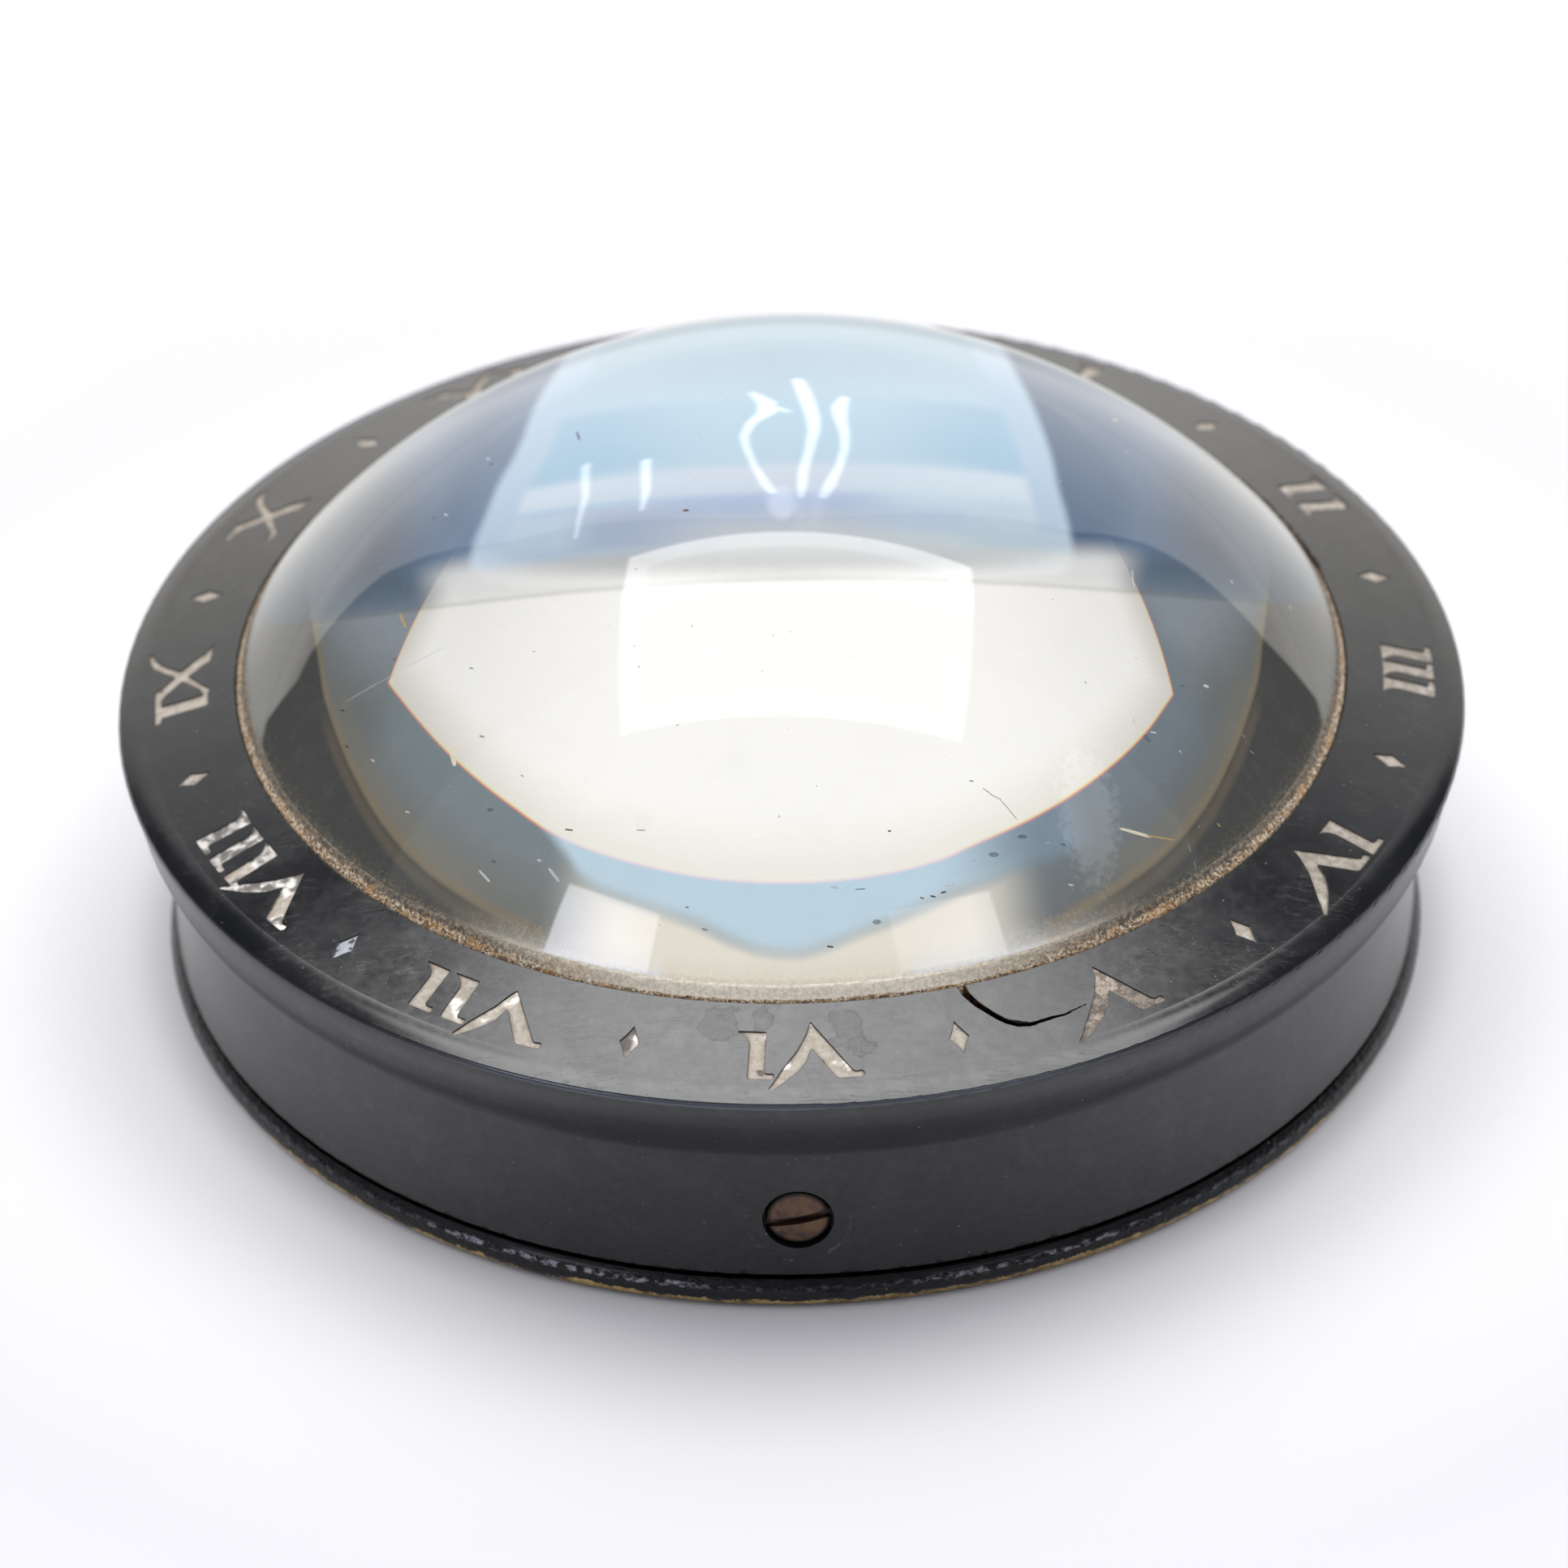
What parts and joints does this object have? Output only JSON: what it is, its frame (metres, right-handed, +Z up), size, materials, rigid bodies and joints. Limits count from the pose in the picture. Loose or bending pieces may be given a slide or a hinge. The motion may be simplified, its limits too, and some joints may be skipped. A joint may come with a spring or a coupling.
{
  "type": "dome magnifier",
  "caption": "Free-standing glass dome magnifier in a dark flanged ring engraved with Roman numerals, on a lacquered brass base held by slotted side screws.",
  "frame": {"origin": "centre of the flat underside the magnifier rests on", "axes": "+Z up along the optical axis, -Y towards the VI, +X towards the III"},
  "size_m": [0.093, 0.093, 0.0415],
  "materials": {
    "ebonite": "black ebonite, satin, handled and scratched",
    "optical_glass": "polished crown glass with fine scratches and a few seeds",
    "bedding_cement": "granular amber cement",
    "lacquered_brass": "brass under worn black lacquer",
    "screw_bronze": "brown patinated brass",
    "cream_filler": "cream filler, partly worn"
  },
  "bodies": {
    "magnifier": {"bezel_ring": "ebonite", "dome_lens": "optical_glass", "lens_cement": "bedding_cement", "base_ring": "lacquered_brass", "numeral_01": "cream_filler", "numeral_02": "cream_filler", "numeral_03": "cream_filler", "numeral_04": "cream_filler", "numeral_05": "cream_filler", "numeral_06": "cream_filler", "numeral_07": "cream_filler", "numeral_08": "cream_filler", "numeral_09": "cream_filler", "numeral_10": "cream_filler", "numeral_11": "cream_filler", "numeral_12": "cream_filler", "lozenge_inlays": "cream_filler"},
    "front_screw": {"side_screw_front": "screw_bronze"},
    "right_screw": {"side_screw_right": "screw_bronze"},
    "left_screw": {"side_screw_left": "screw_bronze"}
  },
  "joints": [
    {"name": "front_screw_turn", "type": "hinge", "parent": "magnifier", "child": "front_screw", "pos_m": [0, -0.04202, 0.0073], "axis": [0, -1, 0], "continuous": true},
    {"name": "right_screw_turn", "type": "hinge", "parent": "magnifier", "child": "right_screw", "pos_m": [0.03639, 0.02101, 0.0073], "axis": [0.866, 0.5, 0], "continuous": true},
    {"name": "left_screw_turn", "type": "hinge", "parent": "magnifier", "child": "left_screw", "pos_m": [-0.03639, 0.02101, 0.0073], "axis": [-0.866, 0.5, 0], "continuous": true}
  ]
}
